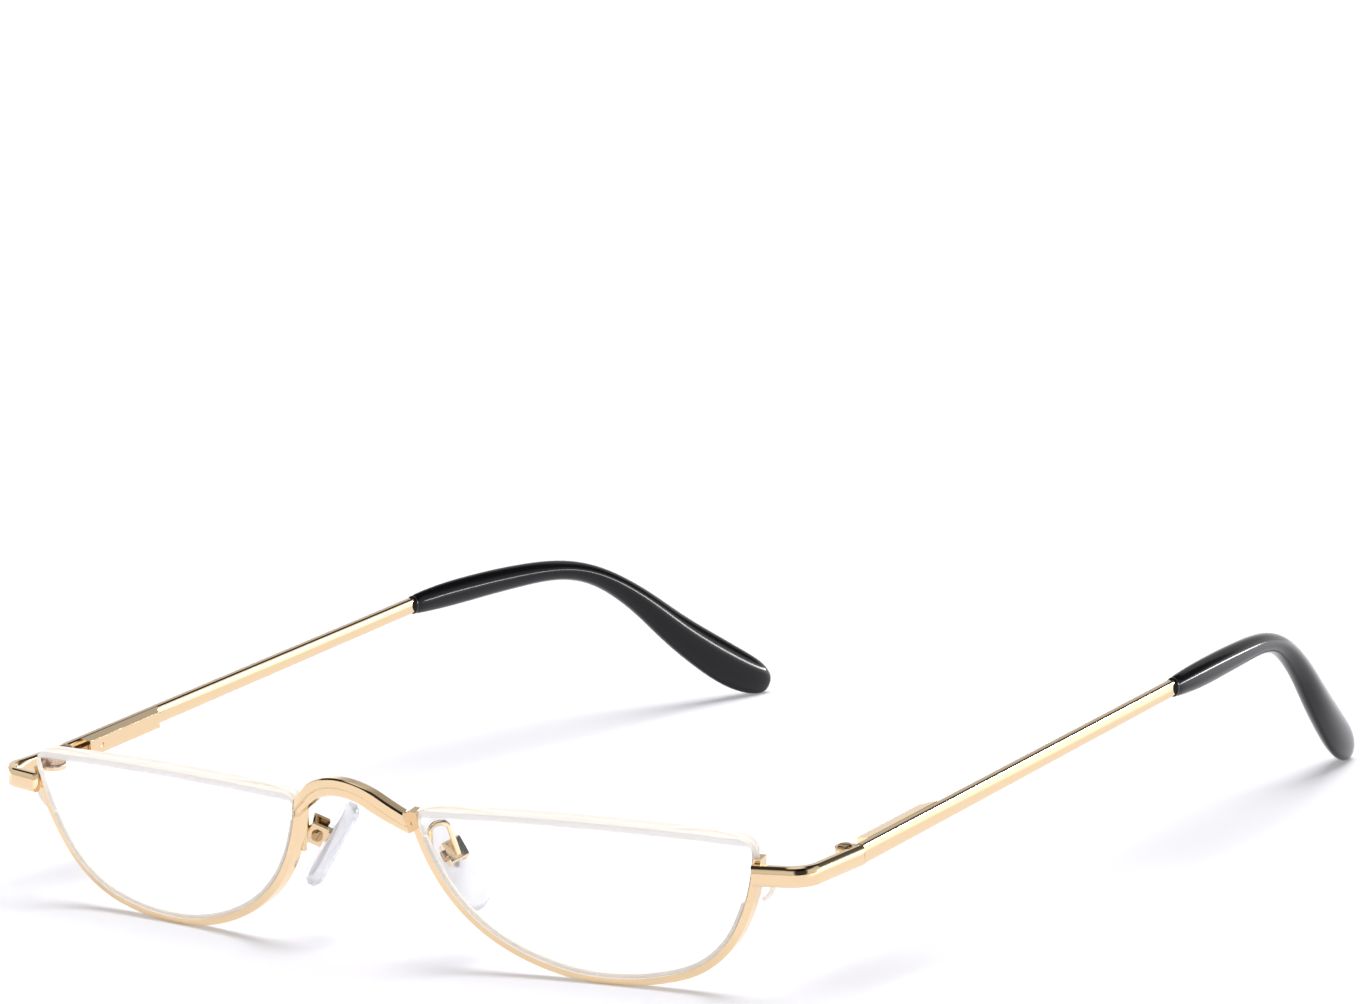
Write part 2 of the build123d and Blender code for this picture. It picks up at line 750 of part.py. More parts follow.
with BuildPart() as pad_screw_right:
    with BuildSketch(lug_plane):
        Circle(pad_screw_radius)
    extrude(amount=pad_box_width / 2, both=True)
    with BuildSketch(lug_plane.offset(pad_box_width / 2)):
        Circle(pad_screw_head)
    extrude(amount=pad_screw_head_height)
    chamfer(pad_screw_right.edges().group_by(pad_screw_axis)[-1], length=pad_screw_head_height / 4)
    with BuildSketch(lug_plane.offset(pad_box_width / 2 + pad_screw_head_height)):
        Rectangle(screw_slot, 2 * pad_screw_head)
    extrude(amount=-screw_slot_depth, mode=Mode.SUBTRACT)

with BuildPart() as pad_box_right:
    with BuildSketch(lug_plane):
        with Locations(((box_open - box_back) / 2, 0)):
            Rectangle(box_open + box_back, pad_box_height)
    extrude(amount=pad_box_width / 2, both=True)
    fillet(pad_box_right.edges().filter_by(pad_screw_axis), radius=pad_box_wall / 2)
    with BuildSketch(lug_plane):
        with Locations(((box_open - box_floor) / 2 + overrun / 2, 0)):
            Rectangle(box_open + box_floor + overrun, pad_box_height + overrun)
    extrude(amount=pad_box_width / 2 - pad_box_wall, both=True, mode=Mode.SUBTRACT)
    add(pad_screw_right.part, mode=Mode.SUBTRACT)

foot_below = rim_depth + arm_radius - arm_foot_sunk
foot_low = on_bow(arm_foot_across, arm_foot_height, foot_below)
foot_high = on_bow(arm_foot_across - arm_foot_lean, arm_foot_height + arm_foot_length, foot_below)
arm_end = lug_plane.from_local_coords((-box_back, pad_box_height / 4, 0))
arm_reach = arm_end - foot_high

with BuildPart() as pad_arm_right:
    with BuildLine():
        arm_points = [foot_low, foot_high]
        for reach_share, rise_share in arm_shares:
            level = Vector(arm_reach.X, arm_reach.Y, 0) * reach_share
            arm_points.append(foot_high + level + Vector(0, 0, arm_rise * rise_share))
        arm_points.append(arm_end)
        arm_path = FilletPolyline(*arm_points, radius=arm_bend)
    with BuildSketch(Plane(origin=arm_path @ 0, z_dir=arm_path % 0)):
        RegularPolygon(arm_radius, arm_sides)
    sweep(path=arm_path)
    add(rim_right.part, mode=Mode.SUBTRACT)
    add(pad_box_right.part, mode=Mode.SUBTRACT)

# Left-hand side

with BuildPart() as rim_left:
    mirror(rim_right.part, about=Plane.YZ)

with BuildPart() as rim_liner_left:
    mirror(rim_liner_right.part, about=Plane.YZ)

with BuildPart() as lens_left:
    mirror(lens_right.part, about=Plane.YZ)

with BuildPart() as lens_cord_left:
    mirror(lens_cord_right.part, about=Plane.YZ)

with BuildPart() as end_piece_left:
    mirror(end_piece_right.part, about=Plane.YZ)

with BuildPart() as hinge_screw_left:
    mirror(hinge_screw_right.part, about=Plane.YZ)

with BuildPart() as hinge_eye_left:
    mirror(hinge_eye_right.part, about=Plane.YZ)

with BuildPart() as spring_stop_left:
    mirror(spring_stop_right.part, about=Plane.YZ)

with BuildPart() as spring_housing_left:
    mirror(spring_housing_right.part, about=Plane.YZ)

with BuildPart() as temple_left:
    mirror(temple_right.part, about=Plane.YZ)

with BuildPart() as temple_tip_left:
    mirror(temple_tip_right.part, about=Plane.YZ)

with BuildPart() as nose_pad_left:
    mirror(nose_pad_right.part, about=Plane.YZ)

with BuildPart() as pad_screw_left:
    mirror(pad_screw_right.part, about=Plane.YZ)

with BuildPart() as pad_box_left:
    mirror(pad_box_right.part, about=Plane.YZ)

with BuildPart() as pad_arm_left:
    mirror(pad_arm_right.part, about=Plane.YZ)

# The left spring is the same right-handed spring, so it is wound and not mirrored.
left_rod_plane = Plane(
    origin=(-rod_plane.origin.X, rod_plane.origin.Y, rod_plane.origin.Z),
    x_dir=(-rod_plane.x_dir.X, rod_plane.x_dir.Y, rod_plane.x_dir.Z),
    z_dir=(-rod_plane.z_dir.X, rod_plane.z_dir.Y, rod_plane.z_dir.Z),
)

with BuildPart() as hinge_spring_left:
    coil(left_rod_plane)

# Least gap from the spring to itself, measured between points on its centre line.
coil_steps = 48
coil_points = [coil_point(rod_plane, step / coil_steps) for step in range(coil_steps * spring_turns + 1)]
least_gap = min(
    (coil_points[step] - other).length - 2 * spring_wire
    for step in range(0, len(coil_points) - coil_steps, coil_steps)
    for other in coil_points[step + coil_steps // 2 :]
)
print("least gap of a spring to itself:", round(least_gap, 3))

# Files

pieces = {
    "bridge": bridge,
    "rim_right": rim_right,
    "rim_left": rim_left,
    "rim_liner_right": rim_liner_right,
    "rim_liner_left": rim_liner_left,
    "lens_right": lens_right,
    "lens_left": lens_left,
    "lens_cord_right": lens_cord_right,
    "lens_cord_left": lens_cord_left,
    "end_piece_right": end_piece_right,
    "end_piece_left": end_piece_left,
    "hinge_screw_right": hinge_screw_right,
    "hinge_screw_left": hinge_screw_left,
    "hinge_eye_right": hinge_eye_right,
    "hinge_eye_left": hinge_eye_left,
    "spring_stop_right": spring_stop_right,
    "spring_stop_left": spring_stop_left,
    "hinge_spring_right": hinge_spring_right,
    "hinge_spring_left": hinge_spring_left,
    "spring_housing_right": spring_housing_right,
    "spring_housing_left": spring_housing_left,
    "temple_right": temple_right,
    "temple_left": temple_left,
    "temple_tip_right": temple_tip_right,
    "temple_tip_left": temple_tip_left,
    "nose_pad_right": nose_pad_right,
    "nose_pad_left": nose_pad_left,
    "pad_screw_right": pad_screw_right,
    "pad_screw_left": pad_screw_left,
    "pad_box_right": pad_box_right,
    "pad_box_left": pad_box_left,
    "pad_arm_right": pad_arm_right,
    "pad_arm_left": pad_arm_left,
}

for name, piece in pieces.items():
    piece.part.label = name
    export_step(piece.part, f"parts/{name}.step")
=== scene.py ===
"""Looks of a pair of gold half eye reading glasses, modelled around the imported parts."""
from math import copysign, cos, radians, sin, tan

import bpy
from mathutils import Matrix, Vector


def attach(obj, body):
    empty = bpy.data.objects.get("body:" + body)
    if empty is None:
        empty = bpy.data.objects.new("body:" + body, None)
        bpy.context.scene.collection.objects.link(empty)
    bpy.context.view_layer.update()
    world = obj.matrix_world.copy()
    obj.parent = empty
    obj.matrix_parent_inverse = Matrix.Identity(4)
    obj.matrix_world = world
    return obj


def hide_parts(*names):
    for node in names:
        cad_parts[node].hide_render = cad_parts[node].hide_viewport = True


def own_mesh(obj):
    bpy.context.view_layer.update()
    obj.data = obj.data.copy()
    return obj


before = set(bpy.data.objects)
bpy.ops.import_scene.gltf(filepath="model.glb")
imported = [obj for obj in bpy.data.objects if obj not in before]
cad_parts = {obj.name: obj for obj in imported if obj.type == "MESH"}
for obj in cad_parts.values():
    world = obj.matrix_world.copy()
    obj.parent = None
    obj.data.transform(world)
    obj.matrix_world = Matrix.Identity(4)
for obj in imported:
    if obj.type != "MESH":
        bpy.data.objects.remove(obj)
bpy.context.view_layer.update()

bl_info = {
    "name": "Half Eye Reading Glasses",
    "version": (1, 0, 0),
    "blender": (4, 5, 0),
    "location": "3D View > Sidebar > Glasses",
    "description": "Finishes half eye reading glasses around their packed parts",
    "category": "Object",
}

MM = 0.001
SIDES = ("right", "left")

# Right lens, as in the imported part: its middle, wrap and lean, and the arch of its top edge
LENS_PLACE = Vector((35.6, -74.9, 0.0)) * MM
WRAP = radians(6.8)
LEAN = radians(11.2)
LENS_TOP = 22.15 * MM
LENS_FALL = 1.3 * MM
LENS_MIDDLE = -2.67 * MM
LENS_HALF = 25.16 * MM

# Frosted band that the ground top edge shows through the lens: where it starts and is full,
# how much it covers, and the painted glow it is given
BAND_START = LENS_TOP - 1.15 * MM
BAND_FULL = LENS_TOP - 0.70 * MM
BAND_COVER = 0.85
BAND_PAINTED_GLOW = 0.25

# Right nose pad: its middle and attitude, and where its metal back starts behind the middle
PAD_PLACE = Vector((10.2, -72.5, 12.74)) * MM
PAD_SPLAY = radians(35)
PAD_TURN = radians(37)
PAD_BACK = -1.05 * MM

# Oval plate inside a pad
PLATE_RADIUS = 0.75 * MM
PLATE_DEPTH = 0.3 * MM
PLATE_STRETCH = 2.4
PLATE_RISE = 1.0 * MM
PLATE_SINK = 0.55 * MM
PLATE_EDGE = 0.08 * MM

# Right hinge's axis, and the directions of its temple
HINGE = Vector((62.4, -62.6, 16.95)) * MM
TOE = radians(0.7)
PITCH = radians(5.2)

# Coil spring: where it starts, as a distance from the hinge's axis
SPRING_START = 5.4 * MM

# Temple bar: how far outside the hinge's axis its middle lies, and where the tip starts on it
BAR_MIDDLE = 1.3 * MM
BAR_LENGTH = 77.8 * MM

# Temple tip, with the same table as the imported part's. Each row has the shares of the
# tip's length, drop, inward bend, height and width.
TIP_LENGTH = 67.8 * MM
TIP_DROP = 29.28 * MM
TIP_INWARD = 12.4 * MM
TIP_HEIGHT = 5.5 * MM
TIP_WIDTH = 3.6 * MM
TIP_SHARES = (
    (0.000, 0.000, 0.000, 0.46, 0.49),
    (0.035, 0.004, 0.008, 0.56, 0.64),
    (0.130, 0.016, 0.045, 0.66, 0.76),
    (0.290, 0.040, 0.145, 0.62, 0.84),
    (0.440, 0.082, 0.273, 0.52, 0.84),
    (0.550, 0.175, 0.388, 0.53, 0.86),
    (0.655, 0.350, 0.514, 0.68, 0.92),
    (0.765, 0.595, 0.660, 0.94, 1.00),
    (0.880, 0.820, 0.830, 1.12, 0.98),
    (0.957, 0.940, 0.945, 0.94, 0.78),
    (0.990, 0.990, 0.991, 0.50, 0.42),
)
# Bead at the sleeve's mouth: millimetres from the mouth, and the scale of the section there
TIP_BEAD = ((0.0, 0.88), (0.1, 1.0), (0.5, 1.06), (0.75, 0.92), (1.0, 0.97))
# Rounded end: rows short of the last one, and the scale of the section there
TIP_END = ((1.0, 0.99), (0.67, 0.975), (0.33, 0.965), (0.12, 0.86), (0.0, 0.5))
# Rings for each row, points round a ring, and how far each way along the rows its heading is taken
TIP_STEPS = 3
RING_POINTS = 32
HEADING_REACH = 0.2

# Lean of the shading at the upper and lower borders of the end pieces and temples, and how much
# a face looks up or down where it no longer counts as upright, or where it makes a border
STRAP_DOME = radians(29)
BAR_DOME = radians(17)
UPRIGHT = 0.35
BORDER = 0.1

# How far sideways the faces of the bridge look that get a painted highlight, and how far
# forwards the polished faces of a lens do. All its other faces are its edge.
HIGHLIT_SIDEWAYS = 0.93
LENS_FORWARDS = 0.92

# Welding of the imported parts' loose triangles, the rounding of edges, the least turn in degrees
# that stays sharp, and how far the nylon presses into its grooves
WELD_GAP = 0.002 * MM
FLAT_ANGLE = radians(0.5)
EDGE_SEGMENTS = 2
LENS_EDGE = 0.08 * MM
SHARP_TURN = 40
NYLON_PRESS = 0.01 * MM

# Finishes: the width of the patches that each varies in, in scratches for the metals, how deep
# the ripples of the gold are, how much painted glow a milky plastic gets, and what its shadow
# lets through
HAZE_SCRATCHES = 6
RIPPLE_SCRATCHES = 10
RIPPLE_DEPTH = 0.05 * MM
ACETATE_PATCH = 4.545 * MM
CLEAR_PATCH = 2.5 * MM
MILKY_PATCH = 3.333 * MM
MILK_PAINTED_GLOW = 0.13
MILKY_SHADOW = 0.65

# White table, set a hair below the tips. In reflections its glow is read off the levels by the
# distance from its middle, as a share of its reach in metres, and is dimmer near the middle:
# painted shade of the glasses on the table. In front of the lenses it glows evenly, and the last
# pair is where that ends.
TABLE_SIZE = 12.0
TABLE_DROP = 0.02 * MM
TABLE_PAINT = "#D2D1D6"
TABLE_GLOW = 0.31
TABLE_REACH = 0.5
TABLE_LEVELS = ((0.0, 0.28), (0.24, 0.30), (0.38, 0.8), (1.0, 1.0))
TABLE_FRONT = (-0.09, -0.06)

# Brightness of the walls in reflections, behind and in front, by the height of the direction.
# The last pair is how far back a direction points where the front walls turn into the back ones.
BACK_LEVELS = (
    (0.0, 1.2), (0.08, 1.2), (0.21, 1.0), (0.31, 0.62), (0.45, 0.48), (0.60, 0.60),
    (0.69, 0.03), (0.90, 0.03), (0.94, 0.8), (1.0, 1.2),
)
FRONT_LEVELS = (
    (0.0, 0.66), (0.25, 0.78), (0.44, 0.7), (0.52, 0.03), (0.90, 0.03), (0.94, 0.8), (1.0, 1.2),
)
WALL_TURN = (0.3, 0.6)

# Round dark flags in reflections, one behind the glasses and one behind the camera: the direction
# of the middle, the cosines to the outer edge and to the core, and the core's level
BACK_FLAG = ((0.41, 0.79, 0.46), 0.950, 0.967, 0.16)
CAMERA_FLAG = ((0.80, -0.55, 0.30), 0.85, 0.95, 0.06)

# Light of the room on matt surfaces, the soft key, and the strip that streaks the tips
ROOM_LEVEL = 0.30
ROOM_COLOUR = "#F4F4FA"
KEY_LEVEL = 2.9
KEY_ANGLE = radians(38)
KEY_DIRECTION = Vector((0.14, 0.10, 1.0))
STRIP_PLACE = Vector((1.25, 1.85, 0.19))
STRIP_AIM = Vector((0.0, 0.1, 0.02))
STRIP_SIZE = (1.7, 0.10)
STRIP_POWER = 14.0

# The photograph's camera, found from both rims and both temples
CAMERA_PLACE = Vector((561.36, -803.7, 221.97)) * MM
CAMERA_AZIMUTH = radians(35.145)
CAMERA_ELEVATION = radians(10.154)
CAMERA_ROLL = radians(-1.596)
CAMERA_LENS = 194.44
CAMERA_SENSOR = 36.0
CAMERA_CLIP = (0.01, 50.0)


# Sizes and colours that a user would change

class GlassesSizes(bpy.types.PropertyGroup):
    """Edge roundings and small sizes of the finished pieces."""

    rim_edge: bpy.props.FloatProperty(
        name="Rim edge", description="Rounding of the edges of the rim wire",
        default=0.10 * MM, unit="LENGTH",
    )
    small_edge: bpy.props.FloatProperty(
        name="Small edge", description="Rounding of the bridge and of the pads' and springs' boxes",
        default=0.05 * MM, unit="LENGTH",
    )
    scratch_pitch: bpy.props.FloatProperty(
        name="Scratch pitch", description="Spacing of the polishing lines that haze the gold",
        default=0.6 * MM, unit="LENGTH",
    )


class GlassesColours(bpy.types.PropertyGroup):
    """Colours of the finishes, as sRGB hex values."""

    gold: bpy.props.StringProperty(
        name="Gold", description="Pale yellow gold plate", default="#F5D9AF",
    )
    screw: bpy.props.StringProperty(
        name="Screws", description="Turned and gold plated screws, hinge eyes and springs",
        default="#C4A27A",
    )
    insert: bpy.props.StringProperty(
        name="Pad plates", description="Nickel plates inside the nose pads", default="#D8CFCB",
    )
    # Paler gold of the bridge's sideways end faces: a painted highlight
    painted_highlight: bpy.props.StringProperty(
        name="Highlight", description="Pale braze at the ends of the bridge", default="#F8EDDC",
    )
    tip: bpy.props.StringProperty(
        name="Tips", description="Black acetate of the temple tips", default="#0D0D10",
    )
    lens: bpy.props.StringProperty(
        name="Lenses", description="Clear lens plastic", default="#FEFEFE",
    )
    nylon: bpy.props.StringProperty(
        name="Nylon", description="Milky nylon of the cords", default="#F8F4EE",
    )
    silicone: bpy.props.StringProperty(
        name="Pads", description="Clear silicone of the nose pads", default="#F3F4F8",
    )


# Materials

def srgb(hex_value, share=1.0):
    """Linear colour of an sRGB hex value, or a darker share of it."""
    channels = [int(hex_value[i:i + 2], 16) / 255 for i in (1, 3, 5)]
    linear = [c / 12.92 if c <= 0.04045 else ((c + 0.055) / 1.055) ** 2.4 for c in channels]
    return (*(share * c for c in linear), 1.0)


def add_node(tree, kind, inputs=None, **settings):
    """Adds one node with its settings, and gives each input its value or its link."""
    node = tree.nodes.new(kind)
    for name, value in settings.items():
        setattr(node, name, value)
    for name, value in (inputs or {}).items():
        if isinstance(value, bpy.types.NodeSocket):
            tree.links.new(value, node.inputs[name])
        else:
            node.inputs[name].default_value = value
    return node


def set_levels(node, levels):
    """Fills a colour ramp with greys from a table of places and levels."""
    ramp = node.color_ramp
    while len(ramp.elements) < len(levels):
        ramp.elements.new(0.5)
    for element, (place, level) in zip(ramp.elements, levels):
        element.position = place
        element.color = (level, level, level, 1.0)


def new_material(name):
    """An empty node material."""
    material = bpy.data.materials.new(name)
    material.use_nodes = True
    material.node_tree.nodes.clear()
    return material, material.node_tree


def patches(tree, width, detail, **inputs):
    """Cloudy patches of a real width, fixed to the piece, as levels from 0 to 1."""
    place = add_node(tree, "ShaderNodeTexCoord")
    cloud = add_node(
        tree, "ShaderNodeTexNoise",
        {"Vector": place.outputs["Object"], "Scale": 1 / width, "Detail": detail, **inputs},
    )
    return cloud.outputs["Fac"]


def gold_plate(name, hex_value, roughness):
    """Electroplated gold over nickel silver, buffed: a clear mirror with faint polishing haze.

    The haze lies in patches some scratches wide, and grinding has left the metal slightly
    rippled under the plate.
    """
    material, tree = new_material(name)
    pitch = bpy.context.scene.glasses_sizes.scratch_pitch
    haze = patches(tree, HAZE_SCRATCHES * pitch, 3.0, Roughness=0.6)
    rough = add_node(
        tree, "ShaderNodeMapRange",
        {"Value": haze, "To Min": roughness * 0.8, "To Max": roughness * 1.25},
    )
    tone = add_node(
        tree, "ShaderNodeMix",
        {"Factor": haze, 6: srgb(hex_value), 7: srgb(hex_value, share=0.96)}, data_type="RGBA",
    )
    ripple = patches(tree, RIPPLE_SCRATCHES * pitch, 1.0)
    bump = add_node(
        tree, "ShaderNodeBump", {"Height": ripple, "Strength": 0.05, "Distance": RIPPLE_DEPTH},
    )
    shader = add_node(
        tree, "ShaderNodeBsdfPrincipled",
        {
            "Base Color": tone.outputs[2],
            "Roughness": rough.outputs["Result"],
            "Normal": bump.outputs["Normal"],
            "Metallic": 1.0,
        },
    )
    add_node(tree, "ShaderNodeOutputMaterial", {"Surface": shader.outputs["BSDF"]})
    return material


def black_acetate(hex_value):
    """Tumbled black cellulose acetate: deep black with a clear wet gloss.

    Tumbling leaves the gloss a little uneven, in patches a few millimetres wide.
    """
    material, tree = new_material("black_acetate_tumbled")
    rough = add_node(
        tree, "ShaderNodeMapRange",
        {"Value": patches(tree, ACETATE_PATCH, 2.0), "To Min": 0.10, "To Max": 0.16},
    )
    shader = add_node(
        tree, "ShaderNodeBsdfPrincipled",
        {
            "Base Color": srgb(hex_value),
            "Roughness": rough.outputs["Result"],
            "IOR": 1.5,
            "Specular IOR Level": 0.2,
            "Coat Weight": 0.15,
            "Coat Roughness": 0.03,
        },
    )
    add_node(tree, "ShaderNodeOutputMaterial", {"Surface": shader.outputs["BSDF"]})
    return material


def clear_surface(tree, hex_value, roughness, ior, milk):
    """Surface of a clear plastic, with a slightly uneven gloss.

    Its shadow stays pale, as light passes through it. Milk is the share of light that
    doesn't go straight through, and it also sets a faint painted glow in the plastic's own colour.
    """
    rough = add_node(
        tree, "ShaderNodeMapRange",
        {
            "Value": patches(tree, CLEAR_PATCH, 2.0),
            "To Min": roughness,
            "To Max": roughness * 1.3 + 0.004,
        },
    )
    shader = add_node(
        tree, "ShaderNodeBsdfPrincipled",
        {
            "Base Color": srgb(hex_value),
            "Roughness": rough.outputs["Result"],
            "IOR": ior,
            "Transmission Weight": 1.0 - milk,
            # Painted glow, in step with the milk
            "Emission Color": srgb(hex_value),
            "Emission Strength": MILK_PAINTED_GLOW * milk,
        },
    )
    passing = add_node(tree, "ShaderNodeBsdfTransparent", {"Color": srgb(hex_value, share=0.92)})
    path = add_node(tree, "ShaderNodeLightPath")
    mix = add_node(
        tree, "ShaderNodeMixShader",
        {0: path.outputs["Is Shadow Ray"], 1: shader.outputs["BSDF"], 2: passing.outputs["BSDF"]},
    )
    return mix.outputs["Shader"]


def clear_silicone(hex_value):
    """Moulded clear silicone: a soft, slightly cloudy gel that shows the metal inside it."""
    material, tree = new_material("silicone_moulded")
    surface = clear_surface(tree, hex_value, roughness=0.04, ior=1.41, milk=0.42)
    add_node(tree, "ShaderNodeOutputMaterial", {"Surface": surface})
    return material


def height_under_arch(tree):
    """Height on a lens, plus what its top edge has fallen there, so the edge is at one level.

    The left lens is folded onto the right one's place first.
    """
    place = add_node(tree, "ShaderNodeTexCoord")
    split = add_node(tree, "ShaderNodeSeparateXYZ", {"Vector": place.outputs["Object"]})
    outwards = add_node(tree, "ShaderNodeMath", {0: split.outputs["X"]}, operation="ABSOLUTE")
    folded = add_node(
        tree, "ShaderNodeCombineXYZ",
        {"X": outwards.outputs["Value"], "Y": split.outputs["Y"], "Z": split.outputs["Z"]},
    )
    forward = Vector((tan(WRAP), -1, -tan(LEAN))).normalized()
    across = Vector((cos(WRAP), sin(WRAP), 0))
    levels = []
    for direction in (across, forward.cross(across)):
        along = add_node(
            tree, "ShaderNodeVectorMath", {0: folded.outputs["Vector"], 1: direction},
            operation="DOT_PRODUCT",
        )
        level = add_node(
            tree, "ShaderNodeMath", {0: along.outputs["Value"], 1: direction.dot(LENS_PLACE)},
            operation="SUBTRACT",
        )
        levels.append(level.outputs["Value"])
    aside, height = levels
    for operation, number in (("SUBTRACT", LENS_MIDDLE), ("DIVIDE", LENS_HALF), ("POWER", 2.0)):
        step = add_node(tree, "ShaderNodeMath", {0: aside, 1: number}, operation=operation)
        aside = step.outputs["Value"]
    whole = add_node(
        tree, "ShaderNodeMath", {0: aside, 1: LENS_FALL, 2: height}, operation="MULTIPLY_ADD",
    )
    return whole.outputs["Value"]


def lens_plastic(hex_value, band_hex):
    """Polished CR-39 plastic: water clear, with the frosted band of the ground top edge in it."""
    material, tree = new_material("cr39_lens_polished")
    clear = clear_surface(tree, hex_value, roughness=0.0, ior=1.5, milk=0.0)
    band = add_node(
        tree, "ShaderNodeMapRange",
        {
            "Value": height_under_arch(tree),
            "From Min": BAND_START,
            "From Max": BAND_FULL,
            "To Max": BAND_COVER,
        },
        interpolation_type="SMOOTHSTEP",
    )
    frost = add_node(
        tree, "ShaderNodeBsdfPrincipled",
        {
            "Base Color": srgb(band_hex),
            "Roughness": 0.35,
            "IOR": 1.5,
            # Painted glow of the frosted band
            "Emission Color": srgb(band_hex),
            "Emission Strength": BAND_PAINTED_GLOW,
        },
    )
    mix = add_node(
        tree, "ShaderNodeMixShader",
        {0: band.outputs["Result"], 1: clear, 2: frost.outputs["BSDF"]},
    )
    add_node(tree, "ShaderNodeOutputMaterial", {"Surface": mix.outputs["Shader"]})
    return material


def milky_plastic(name, hex_value, roughness, through, painted_glow):
    """A milky plastic: light that enters it spreads, so it glows softly from either side.

    Its tone varies a little, and its shadow is pale. Through is the share of light that
    crosses it, and painted_glow is painted light: a glow that stands in for the light that the
    clear lens carries to it.
    """
    material, tree = new_material(name)
    tone = add_node(
        tree, "ShaderNodeMix",
        {
            "Factor": patches(tree, MILKY_PATCH, 2.0),
            6: srgb(hex_value),
            7: srgb(hex_value, share=0.93),
        },
        data_type="RGBA",
    )
    shader = add_node(
        tree, "ShaderNodeBsdfPrincipled",
        {
            "Base Color": tone.outputs[2],
            "Roughness": roughness,
            "IOR": 1.5,
            # Painted glow, standing in for light that the clear lens carries to the plastic
            "Emission Color": tone.outputs[2],
            "Emission Strength": painted_glow,
        },
    )
    spread = add_node(tree, "ShaderNodeBsdfTranslucent", {"Color": tone.outputs[2]})
    body = add_node(
        tree, "ShaderNodeMixShader",
        {0: through, 1: shader.outputs["BSDF"], 2: spread.outputs["BSDF"]},
    )
    path = add_node(tree, "ShaderNodeLightPath")
    lit = add_node(
        tree, "ShaderNodeMath", {0: path.outputs["Is Shadow Ray"], 1: MILKY_SHADOW},
        operation="MULTIPLY",
    )
    passing = add_node(tree, "ShaderNodeBsdfTransparent")
    whole = add_node(
        tree, "ShaderNodeMixShader",
        {0: lit.outputs["Value"], 1: body.outputs["Shader"], 2: passing.outputs["BSDF"]},
    )
    add_node(tree, "ShaderNodeOutputMaterial", {"Surface": whole.outputs["Shader"]})
    return material


def make_materials():
    """All the finishes, by the name of what they cover."""
    colours = bpy.context.scene.glasses_colours
    return {
        "plate": gold_plate("gold_plate_buffed", colours.gold, roughness=0.07),
        "wire": gold_plate("gold_wire_tumbled", colours.gold, roughness=0.09),
        "screw": gold_plate("gold_screw_turned", colours.screw, roughness=0.16),
        "insert": gold_plate("nickel_insert_stamped", colours.insert, roughness=0.25),
        # Painted highlight: a paler gold for the bridge's sideways end faces
        "painted_highlight": gold_plate("gold_plate_painted_highlight", colours.painted_highlight, roughness=0.12),
        "tip": black_acetate(colours.tip),
        "lens": lens_plastic(colours.lens, colours.nylon),
        "edge": milky_plastic(
            "cr39_edge_ground", colours.nylon, roughness=0.4, through=0.3, painted_glow=0.14,
        ),
        "nylon": milky_plastic(
            "nylon_monofilament", colours.nylon, roughness=0.15, through=0.3, painted_glow=0.26,
        ),
        "silicone": clear_silicone(colours.silicone),
    }


FINISHES = {}


def finish_of(name):
    """One of the finishes. All of them are made when the first one is asked for."""
    if not FINISHES:
        FINISHES.update(make_materials())
    return FINISHES[name]


# Modelling helpers

def deselect_all():
    """Leaves edit mode and selects nothing."""
    if bpy.context.mode != "OBJECT":
        bpy.ops.object.mode_set(mode="OBJECT")
    bpy.ops.object.select_all(action="DESELECT")


def activate(piece):
    """Selects one piece alone and makes it active."""
    deselect_all()
    piece.select_set(True)
    bpy.context.view_layer.objects.active = piece


def add_object(name, data):
    """A new object in the scene, at the origin."""
    thing = bpy.data.objects.new(name, data)
    bpy.context.scene.collection.objects.link(thing)
    return thing


def apply_modifiers(piece):
    """Applies every modifier of a piece in order."""
    activate(piece)
    for modifier in list(piece.modifiers):
        bpy.ops.object.modifier_apply(modifier=modifier.name)


def round_edges(piece, width):
    """Adds the rounding of a piece's sharp edges, to be applied later."""
    bevel = piece.modifiers.new("rounding", "BEVEL")
    bevel.width = width
    bevel.segments = EDGE_SEGMENTS
    bevel.limit_method = "ANGLE"
    return bevel


def mirror(place):
    """The left side's place or direction for one of the right side's."""
    return Vector((-place.x, place.y, place.z))


def cast_from(node, name, finish, edge=0.0, smooth_angle=SHARP_TURN, bevel_angle=35, crown=50,
              swell=0.0):
    """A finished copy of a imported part: welded, with rounded edges and smooth faces.

    A crown under 50 lets the narrow edge faces bend the shading of the broad ones,
    which then look slightly domed from buffing. Swell makes a thin piece press a hair into
    its neighbours. The angles are in degrees.
    """
    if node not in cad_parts:
        raise RuntimeError(f"The packed part {node} is missing")
    deselect_all()
    piece = add_object(name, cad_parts[node].data.copy())
    activate(piece)
    bpy.ops.mesh.customdata_custom_splitnormals_clear()
    bpy.ops.object.mode_set(mode="EDIT")
    bpy.ops.mesh.select_all(action="SELECT")
    bpy.ops.mesh.remove_doubles(threshold=WELD_GAP)
    bpy.ops.mesh.dissolve_limited(angle_limit=FLAT_ANGLE)
    if swell:
        bpy.ops.mesh.select_all(action="SELECT")
        bpy.ops.transform.shrink_fatten(value=swell)
    bpy.ops.object.mode_set(mode="OBJECT")
    if edge:
        bevel = round_edges(piece, edge)
        bevel.angle_limit = radians(bevel_angle)
        bevel.miter_outer = "MITER_ARC"
    apply_modifiers(piece)
    bpy.ops.object.shade_smooth_by_angle(angle=radians(smooth_angle))
    weights = piece.modifiers.new("normals", "WEIGHTED_NORMAL")
    weights.keep_sharp = True
    weights.weight = crown
    apply_modifiers(piece)
    piece.data.materials.clear()
    piece.data.materials.append(finish_of(finish))
    return piece


def second_finish(piece, finish, covers):
    """Gives a second finish to the faces for which covers is true."""
    piece.data.materials.append(finish_of(finish))
    for face in piece.data.polygons:
        face.material_index = 1 if covers(face) else 0


